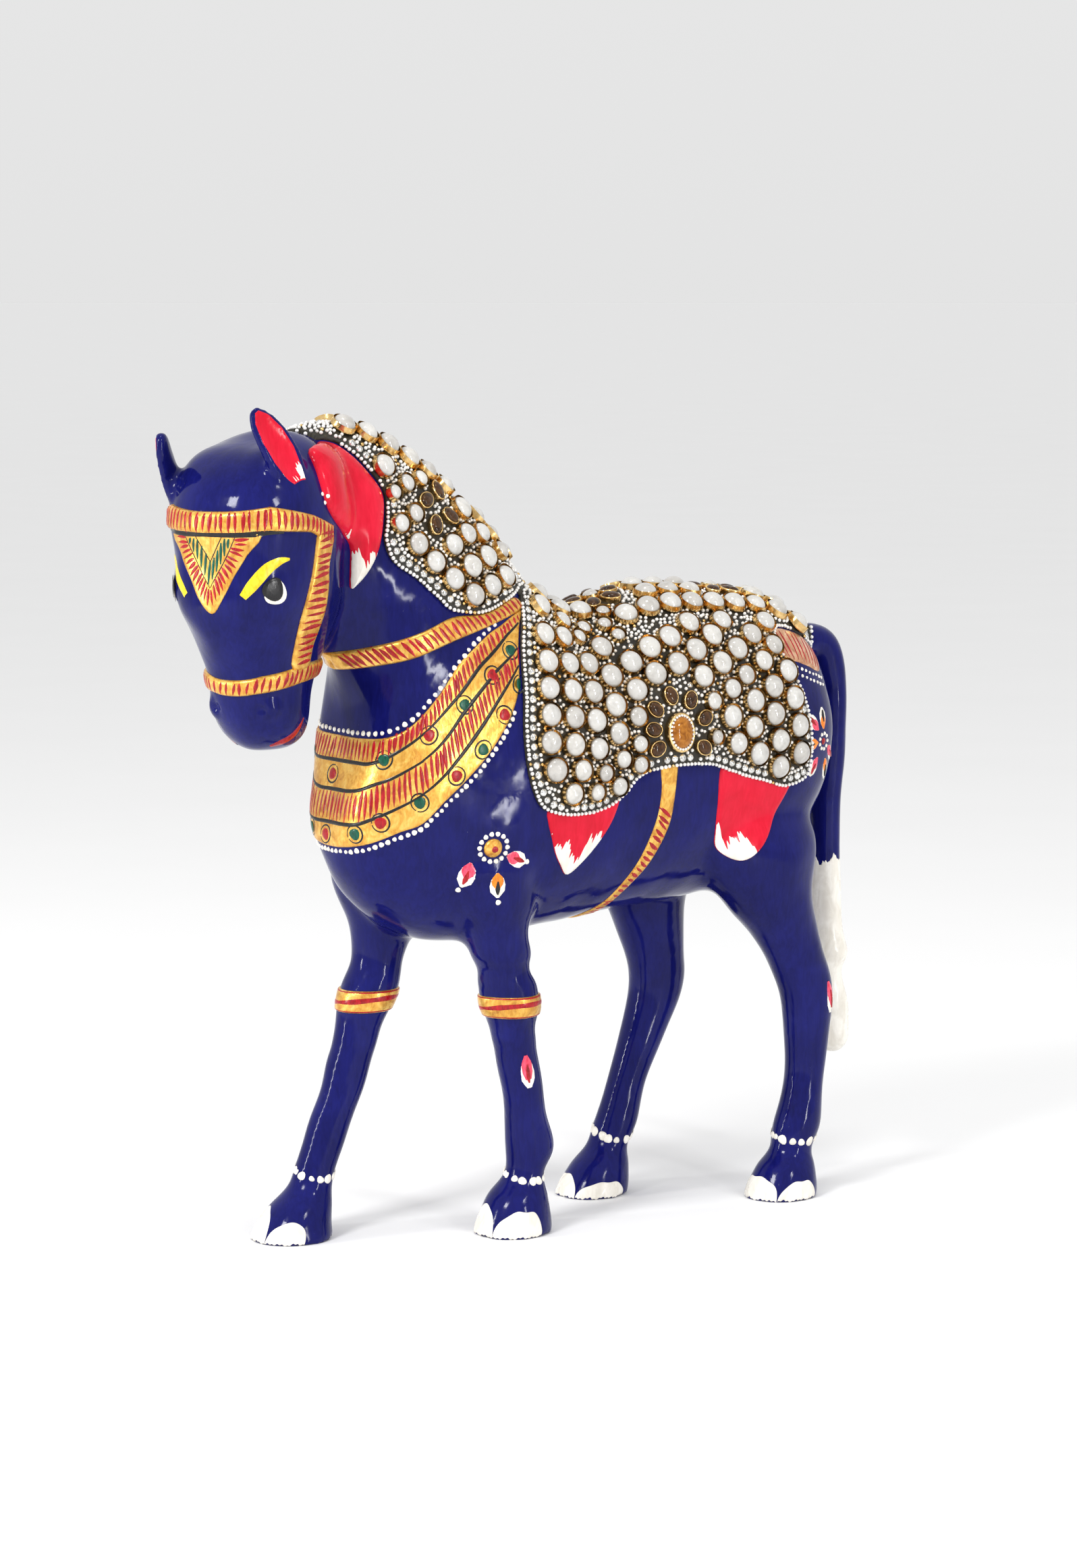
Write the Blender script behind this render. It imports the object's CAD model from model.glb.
import math
import random

import bpy
import numpy as np
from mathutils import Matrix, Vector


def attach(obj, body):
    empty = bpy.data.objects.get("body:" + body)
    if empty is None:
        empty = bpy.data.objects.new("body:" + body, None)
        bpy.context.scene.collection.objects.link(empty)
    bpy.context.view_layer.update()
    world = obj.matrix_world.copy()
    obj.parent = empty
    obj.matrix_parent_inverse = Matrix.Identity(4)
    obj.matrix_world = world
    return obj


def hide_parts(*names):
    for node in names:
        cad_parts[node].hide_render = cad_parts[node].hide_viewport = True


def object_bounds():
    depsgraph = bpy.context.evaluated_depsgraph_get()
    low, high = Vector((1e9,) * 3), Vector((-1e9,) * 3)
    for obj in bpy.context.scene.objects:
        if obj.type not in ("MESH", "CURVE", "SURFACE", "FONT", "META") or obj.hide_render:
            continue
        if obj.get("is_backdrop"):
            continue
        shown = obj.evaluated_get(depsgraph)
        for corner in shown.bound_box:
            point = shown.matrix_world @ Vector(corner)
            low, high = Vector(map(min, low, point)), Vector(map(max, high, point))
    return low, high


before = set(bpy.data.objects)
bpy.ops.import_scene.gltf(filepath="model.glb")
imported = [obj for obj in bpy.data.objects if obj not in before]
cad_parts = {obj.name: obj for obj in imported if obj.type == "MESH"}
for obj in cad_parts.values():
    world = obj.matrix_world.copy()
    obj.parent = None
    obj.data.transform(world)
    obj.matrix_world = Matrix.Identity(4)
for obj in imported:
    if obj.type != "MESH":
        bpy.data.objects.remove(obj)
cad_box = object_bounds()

import openvdb
from mathutils import Matrix, Vector
from mathutils.bvhtree import BVHTree

# Lengths here are millimetres in the part's own layout: the horse faces -X, its left is -Y.
# OFFSET is the part's move along X; everything is turned into metres when a mesh is made.
MM = 0.001
OFFSET = np.array([6.0, 0.0, 0.0])
CASTINGS = ["trunk_left", "trunk_right", "head", "leg_front_left", "leg_front_right",
            "leg_hind_left", "leg_hind_right"]
FIXED_ON = ["ear_left", "ear_right", "tail"]
SIDES = {"left": -1, "right": 1}
HEAD_TURN = math.radians(27)
HEAD_X = -78.0
VOXEL = 0.58
CASTING_FILLET, JOINT_FILLET = 3.6, 1.2
SMOOTHING_ROUNDS = 30
STRIPE_LIFT, LINE_LIFT, HEART_LIFT = 0.09, 0.13, 0.36
BEAD_RADIUS, CRYSTAL_RADIUS = 0.5, 1.0
OUTER_BEADS, CRYSTAL_ROW, INNER_BEADS = 0.45, 2.0, 3.45
rng = random.Random(11)


# ---------------------------------------------------------------- meshes
def node_mesh(name):
    """Points (mm) and triangles of a CAD node."""
    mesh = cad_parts[name].data
    mesh.calc_loop_triangles()
    points = np.empty(len(mesh.vertices) * 3, np.float32)
    mesh.vertices.foreach_get("co", points)
    tris = np.empty(len(mesh.loop_triangles) * 3, np.int32)
    mesh.loop_triangles.foreach_get("vertices", tris)
    return points.reshape(-1, 3).astype(float) / MM - OFFSET, tris.reshape(-1, 3)


def join(parts):
    """One (points, faces) from several."""
    points, faces, start = [], [], 0
    for p, f in parts:
        points.append(p)
        faces.append(np.asarray(f) + start)
        start += len(p)
    return np.concatenate(points), np.concatenate(faces)


def vertex_normals(points, tris):
    a, b, c = (points[tris[:, i]] for i in range(3))
    face = np.cross(b - a, c - a)
    total = np.zeros_like(points)
    for i in range(3):
        for k in range(3):
            total[:, k] += np.bincount(tris[:, i], face[:, k], len(points))
    return total / np.maximum(np.linalg.norm(total, axis=1, keepdims=True), 1e-9)


def ring_faces(rings, sides):
    """Quads between rings of points laid out one after another."""
    return [(r * sides + k, r * sides + (k + 1) % sides, (r + 1) * sides + (k + 1) % sides,
             (r + 1) * sides + k)
            for r in range(rings - 1) for k in range(sides)]


def cap_faces(first, sides):
    """Quads that close an even ring."""
    return [(first + k, first + k + 1, first + sides - 2 - k,
             first + sides - 1 - k) for k in range(sides // 2 - 1)]


def piece(name, points, faces, material, replaces=(), tone=None, flat=False):
    """A Blender object of these points (mm) and faces, riding on the figure."""
    faces = np.ascontiguousarray(faces, np.int32)
    mesh = bpy.data.meshes.new(name)
    mesh.vertices.add(len(points))
    mesh.vertices.foreach_set("co", ((points + OFFSET) * MM).astype(np.float32).ravel())
    mesh.loops.add(faces.size)
    mesh.loops.foreach_set("vertex_index", faces.ravel())
    mesh.polygons.add(len(faces))
    mesh.polygons.foreach_set("loop_start", np.arange(0, faces.size, faces.shape[1], dtype=np.int32))
    mesh.update(calc_edges=True)
    mesh.validate()
    if not flat:
        mesh.shade_smooth()
    if tone is not None and len(mesh.vertices) == len(tone):
        mesh.attributes.new("tone", "FLOAT", "POINT").data.foreach_set("value", np.asarray(tone, np.float32))
    mesh.materials.append(material)
    obj = bpy.data.objects.new(name, mesh)
    bpy.context.scene.collection.objects.link(obj)
    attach(obj, "root")
    if replaces:
        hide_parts(*replaces)
    return obj


# ---------------------------------------------------------------- materials
class Shader:
    """A node material built up by short calls; lengths in mm of the figure."""

    def __init__(self, name, **values):
        self.material = bpy.data.materials.new(name)
        self.material.use_nodes = True
        self.tree = self.material.node_tree
        self.bsdf = self.tree.nodes["Principled BSDF"]
        for key, value in values.items():
            self.set(key.replace("_", " "), value)
        self.coords = self.node("ShaderNodeTexCoord").outputs["Object"]

    def node(self, kind, inputs=(), **settings):
        made = self.tree.nodes.new(kind)
        for key, value in settings.items():
            setattr(made, key, value)
        for key, value in dict(inputs).items():
            if isinstance(value, bpy.types.NodeSocket):
                self.tree.links.new(value, made.inputs[key])
            else:
                made.inputs[key].default_value = value
        return made

    def set(self, key, value):
        if isinstance(value, bpy.types.NodeSocket):
            self.tree.links.new(value, self.bsdf.inputs[key])
        elif isinstance(value, tuple) and len(value) == 3 and "Radius" not in key:
            self.bsdf.inputs[key].default_value = (*value, 1)
        else:
            self.bsdf.inputs[key].default_value = value

    def noise(self, size, detail=2.0, stretch=(1, 1, 1), distortion=0.0):
        """Noise whose patches are about size mm."""
        scaled = self.node("ShaderNodeVectorMath", {0: self.coords, 1: Vector(stretch)}, operation="MULTIPLY")
        made = self.node("ShaderNodeTexNoise", {"Vector": scaled.outputs[0], "Scale": 1 / (size * MM),
                                                "Detail": detail, "Distortion": distortion})
        return made.outputs["Fac"]

    def ramp(self, fac, stops):
        made = self.node("ShaderNodeValToRGB", {"Fac": fac})
        elements = made.color_ramp.elements
        while len(elements) < len(stops):
            elements.new(0.5)
        for element, (at, colour) in zip(elements, stops):
            element.position = at
            element.color = (*colour, 1) if isinstance(colour, tuple) else (colour, colour, colour, 1)
        return made.outputs["Color"]

    def mix(self, fac, a, b, blend="MIX"):
        made = self.node("ShaderNodeMix", data_type="RGBA", blend_type=blend)
        for index, value in ((0, fac), (6, a), (7, b)):
            if isinstance(value, bpy.types.NodeSocket):
                self.tree.links.new(value, made.inputs[index])
            else:
                made.inputs[index].default_value = (*value, 1) if isinstance(value, tuple) else value
        return made.outputs[2]

    def tone(self):
        return self.node("ShaderNodeAttribute", attribute_name="tone").outputs["Fac"]

    def bumps(self, *layers, coat=False):
        """Stacked bump layers of (height, millimetres)."""
        normal = None
        for height, depth in layers:
            inputs = {"Height": height, "Distance": depth * MM, "Strength": 1.0}
            if normal is not None:
                inputs["Normal"] = normal
            normal = self.node("ShaderNodeBump", inputs).outputs["Normal"]
        self.set("Normal", normal)
        if coat:
            self.set("Coat Normal", normal)


def enamel(name, deep, middle, bright, roughness=0.09, streaks=0.35, wave=0.16):
    """Glossy brushed enamel under lacquer: cloudy depth, faint brush streaks, uneven surface, dust pits."""
    s = Shader(name, IOR=1.5, Specular_IOR_Level=0.16)
    cloud = s.noise(13, 4, distortion=0.6)
    streak = s.noise(1.1, 3, (1, 1, 0.16), 1.0)
    base = s.ramp(cloud, [(0.28, deep), (0.52, middle), (0.78, bright)])
    lined = s.ramp(streak, [(0.3, deep), (0.7, bright)])
    s.set("Base Color", s.mix(streaks, base, lined))
    pits = s.ramp(s.noise(0.9, 1), [(0.0, 1.0), (0.19, 1.0), (0.24, 0.0)])
    s.bumps((s.noise(9, 2, distortion=0.3), wave), (s.noise(2.6, 2), 0.02), (pits, -0.025))
    s.set("Roughness", s.ramp(s.noise(4, 3), [(0.3, roughness * 0.7), (0.75, roughness * 1.9)]))
    return s.material


def gold_leaf(name, dark=(0.40, 0.14, 0.012), middle=(0.67, 0.33, 0.035), light=(0.92, 0.59, 0.14)):
    """Gold paint over relief: mottled leaf, brushed grain, thin lacquer."""
    s = Shader(name, Metallic=0.62, IOR=1.5, Coat_Weight=0.22, Coat_Roughness=0.06)
    patch = s.noise(3.2, 5, distortion=1.2)
    grain = s.noise(0.5, 3, (1, 1, 0.3), 0.8)
    leaf = s.ramp(patch, [(0.30, dark), (0.48, middle), (0.66, light)])
    s.set("Base Color", s.mix(0.32, leaf, s.ramp(grain, [(0.3, dark), (0.7, light)])))
    s.set("Roughness", s.ramp(patch, [(0.3, 0.42), (0.7, 0.24)]))
    s.bumps((s.noise(5, 2), 0.10), (grain, 0.03), (s.noise(1.3, 3, distortion=1.0), 0.05), coat=True)
    return s.material


def paint(name, dark, light, roughness=0.2, size=0.8):
    """Thick hand-brushed enamel stroke."""
    s = Shader(name, IOR=1.5, Specular_IOR_Level=0.35)
    flow = s.noise(size, 3, (1, 1, 0.4), 0.8)
    s.set("Base Color", s.ramp(flow, [(0.3, dark), (0.68, light)]))
    s.set("Roughness", s.ramp(s.noise(1.7, 2), [(0.3, roughness * 0.6), (0.7, roughness * 1.5)]))
    s.bumps((flow, 0.03), (s.noise(3, 2), 0.05))
    return s.material


def pearl_material():
    s = Shader("pearl", IOR=1.55, Coat_Weight=0.7, Coat_Roughness=0.03, Subsurface_Weight=0.12,
               Subsurface_Radius=(0.0012, 0.0010, 0.0008), Subsurface_Scale=1.0)
    cloud = s.noise(2.4, 3, distortion=0.7)
    base = s.ramp(cloud, [(0.25, (0.43, 0.415, 0.39)), (0.5, (0.54, 0.53, 0.505)),
                          (0.8, (0.62, 0.61, 0.585))])
    shade = s.ramp(s.tone(), [(0.0, (0.80, 0.78, 0.76)), (0.5, (0.95, 0.95, 0.95)), (1.0, (1.0, 0.99, 0.97))])
    s.set("Base Color", s.mix(1.0, base, shade, "MULTIPLY"))
    s.set("Roughness", s.ramp(s.noise(1.6, 2), [(0.3, 0.10), (0.7, 0.19)]))
    s.bumps((s.noise(2.2, 2), 0.02), coat=True)
    return s.material


def metal(name, dark, light, low=0.16, high=0.42, size=1.4, metallic=1.0):
    s = Shader(name, Metallic=metallic, IOR=1.5)
    wear = s.noise(size, 4, distortion=0.8)
    tint = s.mix(0.35, s.ramp(wear, [(0.3, dark), (0.7, light)]),
                 s.ramp(s.tone(), [(0.0, dark), (1.0, light)]))
    s.set("Base Color", tint)
    s.set("Roughness", s.ramp(s.noise(0.8, 3), [(0.3, low), (0.75, high)]))
    s.bumps((s.noise(0.7, 2), 0.025))
    return s.material


def glass(name, dark, light, roughness=0.04, metallic=0.0):
    """Foil-backed glass: deep colour that opens up towards the middle of the noise."""
    s = Shader(name, IOR=1.5, Specular_IOR_Level=0.25, Coat_Weight=0.08, Coat_Roughness=0.01,
               Metallic=metallic, Roughness=roughness)
    s.set("Base Color", s.ramp(s.noise(1.5, 2, distortion=1.0), [(0.3, dark), (0.72, light)]))
    s.bumps((s.noise(1.3, 1), 0.02), coat=True)
    return s.material


def bed_material():
    s = Shader("bed_glue", IOR=1.45)
    dirt = s.noise(1.2, 4)
    s.set("Base Color", s.ramp(dirt, [(0.3, (0.006, 0.005, 0.004)), (0.6, (0.022, 0.018, 0.010)),
                                      (0.8, (0.075, 0.062, 0.036))]))
    s.set("Roughness", s.ramp(dirt, [(0.3, 0.35), (0.7, 0.75)]))
    s.bumps((dirt, 0.16), (s.noise(0.4, 2), 0.05))
    return s.material


BLUE = enamel("enamel_blue", (0.0030, 0.0036, 0.056), (0.0050, 0.0060, 0.088), (0.0085, 0.0105, 0.130))
RED = enamel("enamel_red", (0.46, 0.004, 0.016), (0.63, 0.007, 0.028), (0.70, 0.018, 0.048),
             roughness=0.13, streaks=0.3, wave=0.12)
WHITE = paint("enamel_white", (0.70, 0.66, 0.58), (0.86, 0.83, 0.76), 0.22, 2.2)
GOLD = gold_leaf("gold_leaf")
ROSE_GOLD = gold_leaf("gold_rose", (0.36, 0.13, 0.06), (0.60, 0.30, 0.15), (0.86, 0.56, 0.36))
INK = paint("paint_black", (0.003, 0.003, 0.004), (0.012, 0.011, 0.012), 0.25)
RED_INK = paint("paint_red", (0.20, 0.002, 0.005), (0.42, 0.006, 0.012), 0.25)
GREEN_INK = paint("paint_green", (0.0, 0.035, 0.020), (0.002, 0.095, 0.052), 0.25)
YELLOW = paint("paint_yellow", (0.62, 0.42, 0.004), (0.88, 0.68, 0.03), 0.22)
ORANGE = paint("paint_orange", (0.70, 0.13, 0.004), (0.86, 0.26, 0.015), 0.22)
PINK = paint("paint_pink", (0.60, 0.015, 0.05), (0.80, 0.10, 0.17), 0.2)
PEARL = pearl_material()
BRASS = metal("brass", (0.45, 0.27, 0.09), (0.90, 0.65, 0.30), 0.15, 0.3)
BEADS = metal("seed_beads", (0.62, 0.60, 0.56), (0.95, 0.94, 0.92), 0.12, 0.3, 0.9, metallic=0.2)
GOLD_BEADS = metal("gold_beads", (0.42, 0.24, 0.07), (0.85, 0.62, 0.28), 0.15, 0.35, 0.9)
CRYSTAL = glass("rhinestone", (0.45, 0.44, 0.42), (0.97, 0.97, 0.95), 0.06, metallic=0.85)
SMOKE = glass("glass_smoke", (0.014, 0.006, 0.002), (0.080, 0.034, 0.011))
AMBER = glass("glass_amber", (0.20, 0.058, 0.004), (0.44, 0.17, 0.02))
BED = bed_material()


# ---------------------------------------------------------------- the enamelled skin
def level_set(points, tris, quads, half):
    return openvdb.FloatGrid.createLevelSetFromPolygons(
        np.ascontiguousarray(points, np.float32), triangles=np.ascontiguousarray(tris, np.uint32),
        quads=quads, transform=openvdb.createLinearTransform(voxelSize=VOXEL), halfWidth=half)


def fillet_closed(points, tris, radius):
    """Union of closed meshes with every inner corner filled to a radius."""
    half = radius / VOXEL + 3
    p, t, q = level_set(points, tris, None, half).convertToPolygons(radius, 0.0)
    p, t, q = level_set(p, t, q, half).convertToPolygons(-radius, 0.0)
    tris = np.concatenate([t.reshape(-1, 3), q[:, [0, 1, 2]], q[:, [0, 2, 3]]]).astype(np.int64)
    a, b, c = (p[tris[:, i]].astype(float) for i in range(3))
    if np.einsum("ij,ij->i", a, np.cross(b, c)).sum() < 0:
        tris = tris[:, ::-1]
    return p.astype(float), np.ascontiguousarray(tris)


def smoothed(points, tris, rounds):
    edges = np.concatenate([tris[:, [0, 1]], tris[:, [1, 2]], tris[:, [2, 0]]])
    count = np.bincount(edges[:, 0], minlength=len(points)) + np.bincount(edges[:, 1], minlength=len(points))
    for i in range(rounds):
        total = np.zeros_like(points)
        for k in range(3):
            total[:, k] = (np.bincount(edges[:, 0], points[edges[:, 1], k], len(points))
                           + np.bincount(edges[:, 1], points[edges[:, 0], k], len(points)))
        points = points + (0.55 if i % 2 == 0 else -0.40) * (total / count[:, None] - points)
    return points


def to_head(points):
    """Forward, left and height in the head's own frame."""
    dx, dy = points[:, 0] - HEAD_X, points[:, 1]
    c, s = math.cos(HEAD_TURN), math.sin(HEAD_TURN)
    return -(dx * c + dy * s), dx * s - dy * c, points[:, 2]


def head_point(forward, left, z):
    c, s = math.cos(HEAD_TURN), math.sin(HEAD_TURN)
    return Vector((HEAD_X - forward * c + left * s, -forward * s - left * c, z))


def swell(points, normals, centre, reach, height):
    """A soft bump or dent of the skin round a point."""
    away = np.linalg.norm(points - np.array(centre), axis=1) / reach
    return points + normals * (height * np.clip(1 - away ** 2, 0, 1) ** 2)[:, None]


def skin_surface():
    points, tris = fillet_closed(*join([node_mesh(n) for n in CASTINGS]), CASTING_FILLET)
    points, tris = fillet_closed(*join([(points, tris)] + [node_mesh(n) for n in FIXED_ON]), JOINT_FILLET)
    points = smoothed(points, tris, SMOOTHING_ROUNDS)
    for forward, left, z, reach, height in FEATURES:
        for side in (1, -1):
            normals = vertex_normals(points, tris)
            points = swell(points, normals, head_point(forward, left * side, z), reach, height)
    for x, y, z, reach, height in BODY_FEATURES:
        normals = vertex_normals(points, tris)
        points = swell(points, normals, (x, y, z), reach, height)
    normals = vertex_normals(points, tris)
    rough = sum(np.sin(points @ np.array(k) + phase) for k, phase in WAVES)
    points = points + normals * (0.045 * rough)[:, None]
    points[:, 2] = np.maximum(points[:, 2], 0.0)
    return points, tris, vertex_normals(points, tris)


# Modelled detail of the face (forward, left, z, reach, height): eyelid swelling, eye socket,
# cheek, jaw, nostril, corner of the mouth, brow
FEATURES = [(24.6, 13.2, 162.3, 5.0, 0.5), (27.5, 8.0, 166.5, 6.0, 0.5), (3, 16, 157, 11, 0.9),
            (18.5, 9.5, 133, 4.6, 1.5), (19.6, 6.4, 133.6, 2.2, -1.1), (15.5, 9.4, 127.5, 3.0, -0.9),
            (24.5, 9.5, 150, 8, -0.5), (10, 18, 168, 6, -0.35), (17, 10, 190, 9, 0.6)]
# Muscles and joints (x, y, z, reach, height)
BODY_FEATURES = [(-27, -21, 98, 13, 0.8), (-38, 21, 97, 13, 0.8), (58, -24, 108, 17, 0.7),
                 (-63, -9, 104, 12, 0.7), (-63, 9, 104, 12, 0.7), (-55, -12, 140, 9, -0.7),
                 (-19.8, -19, 58, 5, 0.5), (-50.5, 13, 58, 5, 0.5), (-26.5, -12, 58, 5, 0.6)]
WAVES = [((0.31, 0.22, 0.17), 0.3), ((-0.18, 0.35, 0.27), 1.7), ((0.12, -0.28, 0.38), 4.1),
         ((0.52, 0.11, -0.33), 2.2), ((-0.41, 0.47, 0.15), 5.2)]

skin_points, skin_tris, skin_normals = skin_surface()
print("skin", len(skin_points), len(skin_tris))
skin_tree = BVHTree.FromPolygons(skin_points.tolist(), skin_tris.tolist())
piece("enamel_castings", skin_points, skin_tris, BLUE, CASTINGS + FIXED_ON)


def on_the_head():
    """For each point of the skin, 1 where the nearest casting is the head, else 0."""
    parts = [node_mesh(n) for n in CASTINGS]
    points, tris = join(parts)
    owner = np.repeat(np.arange(len(parts)), [len(t) for _, t in parts])
    tree = BVHTree.FromPolygons(points.tolist(), tris.tolist())
    near = np.array([tree.find_nearest(p)[2] for p in skin_points.tolist()])
    return (owner[near] == CASTINGS.index("head")).astype(float)


head_share = on_the_head()


# ---------------------------------------------------------------- outlines and fields
def curve_through(points, closed=False, steps=6):
    """Smooth line through the points (any dimension)."""
    pts = np.array(points, float)
    count = len(pts)
    result = []
    for i in range(count if closed else count - 1):
        if closed:
            a, b, c, d = (pts[(i + k) % count] for k in (-1, 0, 1, 2))
        else:
            a, b, c, d = pts[max(i - 1, 0)], pts[i], pts[i + 1], pts[min(i + 2, count - 1)]
        for t in np.arange(steps) / steps:
            bend = (2 * a - 5 * b + 4 * c - d) + t * (3 * (b - c) + d - a)
            result.append(b + 0.5 * t * ((c - a) + t * bend))
    if not closed:
        result.append(pts[-1])
    return np.array(result)


def outline_distance(outline, u, v):
    """Signed distance to a closed outline, negative inside."""
    poly = curve_through(outline, closed=True, steps=4)
    near = ((u > poly[:, 0].min() - 3) & (u < poly[:, 0].max() + 3)
            & (v > poly[:, 1].min() - 3) & (v < poly[:, 1].max() + 3))
    result = np.full(len(u), 99.0)
    x, y = u[near], v[near]
    best, inside = np.full(len(x), 1e9), np.zeros(len(x), bool)
    for (x0, y0), (x1, y1) in zip(poly, np.roll(poly, -1, 0)):
        dx, dy = x1 - x0, y1 - y0
        t = np.clip(((x - x0) * dx + (y - y0) * dy) / (dx * dx + dy * dy + 1e-9), 0, 1)
        best = np.minimum(best, (x - x0 - t * dx) ** 2 + (y - y0 - t * dy) ** 2)
        inside ^= ((y0 > y) != (y1 > y)) & (x < dx * (y - y0) / (dy + 1e-12) + x0)
    result[near] = np.sqrt(best) * np.where(inside, -1, 1)
    return result


def side_field(outline, side=0):
    def field(points, normals, head):
        value = outline_distance(outline, points[:, 0], points[:, 2])
        value = np.maximum(value, (head - 0.5) * 3)
        return np.maximum(value, -side * points[:, 1] * 0.9) if side else value
    return field


def any_side_field(outline, side):
    """As side_field, on the head as well as the neck."""
    def field(points, normals, head):
        value = outline_distance(outline, points[:, 0], points[:, 2])
        return np.maximum(value, -side * (points[:, 1] + np.interp(points[:, 0], [-80, -60], [1.5, 0])))
    return field


def head_field(shape):
    def field(points, normals, head):
        return np.maximum(shape(*to_head(points)), (0.5 - head) * 3)
    return field


def midpoint_split(points, tris, normals, head):
    """Four triangles from each; the new points lie on the smooth surface."""
    edges = np.sort(np.concatenate([tris[:, [0, 1]], tris[:, [1, 2]], tris[:, [2, 0]]]), axis=1)
    key = edges[:, 0] * len(points) + edges[:, 1]
    unique, inverse = np.unique(key, return_inverse=True)
    a, b = unique // len(points), unique % len(points)
    middle = (points[a] + points[b]) / 2
    lift_a = np.einsum("ij,ij->i", points[a] - middle, normals[a])[:, None] * normals[a]
    lift_b = np.einsum("ij,ij->i", points[b] - middle, normals[b])[:, None] * normals[b]
    new_normals = normals[a] + normals[b]
    new_normals /= np.maximum(np.linalg.norm(new_normals, axis=1, keepdims=True), 1e-9)
    m = inverse.reshape(3, -1).T + len(points)
    tris = np.concatenate([np.stack([tris[:, 0], m[:, 0], m[:, 2]], 1),
                           np.stack([tris[:, 1], m[:, 1], m[:, 0]], 1),
                           np.stack([tris[:, 2], m[:, 2], m[:, 1]], 1), m])
    return (np.concatenate([points, middle + 0.375 * (lift_a + lift_b)]), tris,
            np.concatenate([normals, new_normals]), np.concatenate([head, (head[a] + head[b]) / 2]))


def cut_skin(field, splits=1):
    """The part of the skin where the field is negative, cut exactly along its edge."""
    value = field(skin_points, skin_normals, head_share)
    chosen = skin_tris[(value[skin_tris] < 1.2).any(axis=1)]
    used, index = np.unique(chosen, return_inverse=True)
    state = skin_points[used], index.reshape(-1, 3), skin_normals[used], head_share[used]
    for _ in range(splits):
        state = midpoint_split(*state)
    points, tris, normals, head = state
    value = field(points, normals, head)
    inside = value < 0
    count = inside[tris].sum(axis=1)
    points, normals, value = list(points), list(normals), list(value)
    made, extra = {}, []

    def crossing(i, j):
        key = (min(i, j), max(i, j))
        if key not in made:
            t = value[i] / (value[i] - value[j])
            made[key] = len(points)
            points.append(points[i] + (points[j] - points[i]) * t)
            normals.append(normals[i] + (normals[j] - normals[i]) * t)
            value.append(0.0)
        return made[key]

    for tri in tris[(count == 1) | (count == 2)].tolist():
        ring = []
        for k in range(3):
            i, j = tri[k], tri[(k + 1) % 3]
            if inside[i]:
                ring.append(i)
            if inside[i] != inside[j]:
                ring.append(crossing(i, j))
        extra += [(ring[0], ring[k], ring[k + 1]) for k in range(1, len(ring) - 1)]
    tris = np.concatenate([tris[count == 3], np.array(extra, np.int64).reshape(-1, 3)])
    used, index = np.unique(tris, return_inverse=True)
    return (np.array(points)[used], index.reshape(-1, 3), np.array(normals)[used], np.array(value)[used])


def border_of(tris):
    """Directed edges that only one triangle uses."""
    edges = np.concatenate([tris[:, [0, 1]], tris[:, [1, 2]], tris[:, [2, 0]]])
    size = int(tris.max()) + 1
    forward, backward = edges[:, 0] * size + edges[:, 1], edges[:, 1] * size + edges[:, 0]
    return edges[~np.isin(forward, backward)]


layers = [(skin_points, skin_tris)]


def rounded(height, edge):
    """Height over a relief's surface from its edge inwards."""
    def rise(points, value):
        return height * np.sqrt(1 - (1 - np.clip(-value / edge, 0, 1)) ** 2)
    return rise


def relief(name, field, rise, material, replaces=(), splits=1, solid=True, sink=0.2):
    """A raised patch of the skin with its edge rolled down into it."""
    points, tris, normals, value = cut_skin(field, splits)
    if not len(tris):
        print("empty relief", name)
        return None
    top = points + normals * rise(points, value)[:, None]
    edge = border_of(tris)
    ring, index = np.unique(edge, return_inverse=True)
    low = points[ring] - normals[ring] * sink
    i, j = edge[:, 0], edge[:, 1]
    index = index.reshape(-1, 2) + len(top)
    skirt = np.concatenate([np.stack([j, i, index[:, 0]], 1), np.stack([j, index[:, 0], index[:, 1]], 1)])
    made = piece(name, np.concatenate([top, low]), np.concatenate([tris, skirt]), material, replaces)
    if solid:
        layers.append((top, tris))
    return made


BLANKET = [(-12, 162), (-17, 157), (-19.5, 151), (-21.5, 145), (-22.8, 135), (-24, 125), (-23.5, 115),
           (-21, 108), (-17, 105.3), (-10, 104.2), (-2, 105), (4, 108), (8, 111.8), (12, 113.4),
           (20, 114.2), (30, 113.8), (36, 112), (42, 110), (48, 108.4), (54, 106.6), (60, 107.5),
           (63, 110), (64, 118), (63, 126), (60.5, 133), (58, 138.5), (56, 142), (60, 145.8),
           (70, 143), (76, 139.5), (80, 141), (80, 162)]
MANE = [(-79, 195.6), (-68.6, 195.2), (-63, 192.8), (-58.4, 188), (-55.2, 183), (-55.6, 176.6),
        (-56.6, 172), (-54.5, 166.5), (-48.5, 162.3), (-44, 158), (-40, 154.6), (-33, 153.6),
        (-28, 154.4), (-22, 156.4), (-17, 158.6), (-12.6, 162), (-8, 166), (-20, 205), (-79, 205)]
COLLAR = [(-76, 97), (-66, 97.5), (-62, 99), (-55, 102.5), (-50, 104.5), (-45, 109.6), (-40, 114),
          (-35, 118.8), (-30, 124.6), (-26, 130.4), (-23.4, 136.6), (-22, 145), (-20, 150.5),
          (-17.5, 153.7), (-22, 152.3), (-26, 150.4), (-30, 148.6), (-35, 145.4), (-40, 141.8),
          (-45, 135.6), (-52, 128.6), (-58, 124.9), (-66, 123.2), (-76, 122.7)]
REIN_LOW = [(-70, 139.2), (-60, 141), (-50, 144), (-40, 147.4), (-30, 150.2), (-22, 152.5), (-17.4, 154)]
REIN_HIGH = [(-70, 143.5), (-60, 146), (-48, 150), (-40, 152.9), (-33, 153.3), (-28, 154.0), (-19.6, 156.6)]
GIRTH_FRONT = [(15.6, 116), (16, 108), (15, 100), (12, 90), (8, 81), (5, 76), (4, 70)]
GIRTH_REAR = [(20.4, 116), (20, 105), (19, 98), (16, 90), (12, 83), (9.5, 78), (7.5, 70)]
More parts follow.
